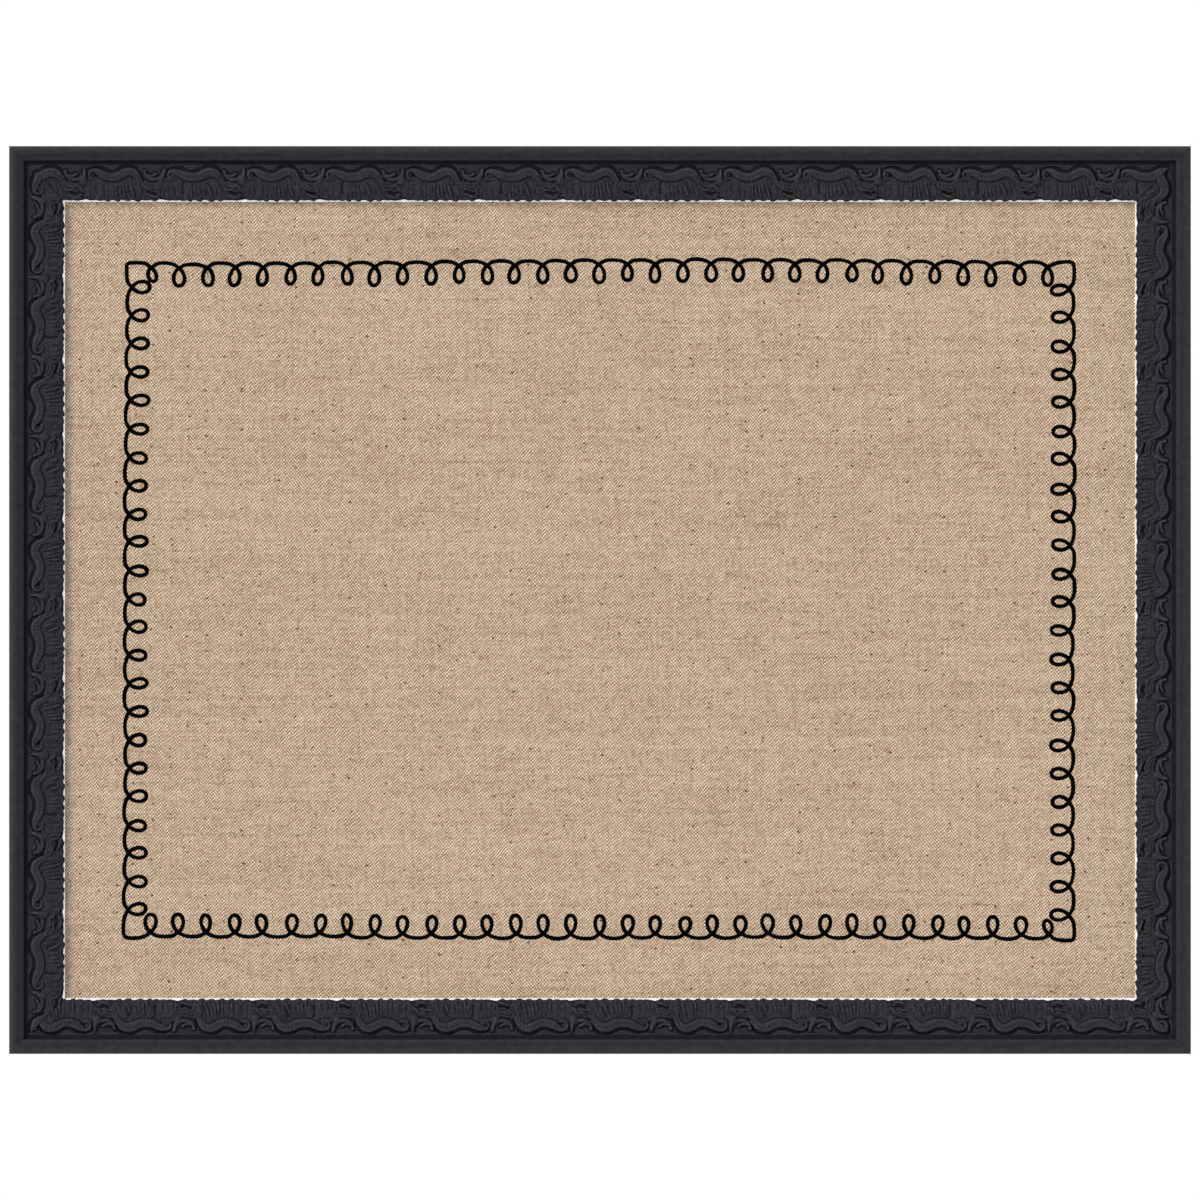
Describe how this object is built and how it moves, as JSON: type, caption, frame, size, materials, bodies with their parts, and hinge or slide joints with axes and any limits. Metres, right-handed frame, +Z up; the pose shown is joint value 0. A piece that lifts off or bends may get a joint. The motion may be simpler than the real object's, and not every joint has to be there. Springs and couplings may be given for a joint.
{
  "type": "pin board",
  "caption": "Wall-hung pin board: a linen-covered cork panel in a carved dark picture-frame moulding, with D-ring hangers on the back.",
  "frame": {"origin": "middle of the top rail's flat back face, where the board lies to the wall", "axes": "+X to the board's right seen from the front, +Y into the wall, +Z up"},
  "size_m": [0.6574, 0.0261, 0.5049],
  "materials": {
    "moulding": "satin",
    "slip": "matte",
    "linen": "matte",
    "cork": "matte",
    "hardboard": "satin",
    "steel": "satin",
    "bumper": "satin"
  },
  "bodies": {
    "board": {"top_rail": "moulding", "bottom_rail": "moulding", "left_stile": "moulding", "right_stile": "moulding", "v_nail_top_left_1": "steel", "v_nail_top_left_2": "steel", "v_nail_top_right_1": "steel", "v_nail_top_right_2": "steel", "v_nail_bottom_left_1": "steel", "v_nail_bottom_left_2": "steel", "v_nail_bottom_right_1": "steel", "v_nail_bottom_right_2": "steel", "staple_top_1": "steel", "staple_top_2": "steel", "staple_top_3": "steel", "staple_top_4": "steel", "staple_top_5": "steel", "staple_top_6": "steel", "staple_bottom_1": "steel", "staple_bottom_2": "steel", "staple_bottom_3": "steel", "staple_bottom_4": "steel", "staple_bottom_5": "steel", "staple_bottom_6": "steel", "staple_left_1": "steel", "staple_left_2": "steel", "staple_left_3": "steel", "staple_left_4": "steel", "staple_right_1": "steel", "staple_right_2": "steel", "staple_right_3": "steel", "staple_right_4": "steel", "framers_point_top_1": "steel", "framers_point_top_2": "steel", "framers_point_top_3": "steel", "framers_point_top_4": "steel", "framers_point_bottom_1": "steel", "framers_point_bottom_2": "steel", "framers_point_bottom_3": "steel", "framers_point_bottom_4": "steel", "framers_point_left_1": "steel", "framers_point_left_2": "steel", "framers_point_right_1": "steel", "framers_point_right_2": "steel", "left_hanger_strap": "steel", "right_hanger_strap": "steel", "left_hanger_screw": "steel", "right_hanger_screw": "steel", "slip_top": "slip", "slip_bottom": "slip", "slip_left": "slip", "slip_right": "slip", "linen_cover": "linen", "cork_sheet": "cork", "hardboard_back": "hardboard", "left_bumper": "bumper", "right_bumper": "bumper"},
    "left_ring": {"left_hanger_ring": "steel"},
    "right_ring": {"right_hanger_ring": "steel"}
  },
  "joints": [
    {"name": "left_ring_swing", "type": "hinge", "parent": "board", "child": "left_ring", "pos_m": [-0.31715, 0.00215, -0.10845], "axis": [1, 0, 0], "range_deg": [0, 178]},
    {"name": "right_ring_swing", "type": "hinge", "parent": "board", "child": "right_ring", "pos_m": [0.31715, 0.00215, -0.10845], "axis": [1, 0, 0], "range_deg": [0, 178]}
  ]
}
